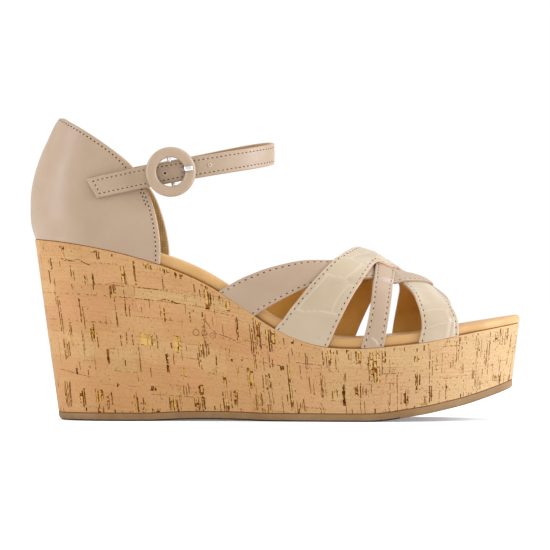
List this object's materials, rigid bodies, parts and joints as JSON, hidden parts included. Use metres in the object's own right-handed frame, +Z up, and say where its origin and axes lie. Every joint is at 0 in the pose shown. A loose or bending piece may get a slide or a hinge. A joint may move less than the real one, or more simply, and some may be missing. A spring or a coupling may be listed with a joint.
{
  "type": "wedge ankle strap sandal",
  "caption": "Right wedge sandal: woven nude leather vamp straps, closed heel counter, buckled ankle strap and a cork platform wedge.",
  "frame": {"origin": "middle of the shoe's length and width on the floor plane that its sole stands on", "axes": "+X towards the toe, +Y towards the medial side, +Z up from the floor"},
  "size_m": [0.2494, 0.089, 0.1533],
  "materials": {
    "cork": "natural cork sheet, satin",
    "taupe_rubber": "matt",
    "tan_leather": "smooth satin",
    "nude_leather_counter": "smooth, soft sheen",
    "nude_leather_straps": "smooth and croc embossed, glossy",
    "nude_leather_ankle": "smooth, soft sheen",
    "nude_leather_ring": "smooth, soft sheen",
    "tab_leather": "plain",
    "polished_steel": "polished"
  },
  "bodies": {
    "root": {"outsole": "taupe_rubber", "wedge": "cork", "insole": "tan_leather", "heel_counter": "nude_leather_counter", "vamp_straps": "nude_leather_straps", "ankle_strap": "nude_leather_ankle", "buckle_ring": "nude_leather_ring", "buckle_tab": "tab_leather", "buckle_bar": "polished_steel", "buckle_prong": "polished_steel"}
  },
  "joints": []
}
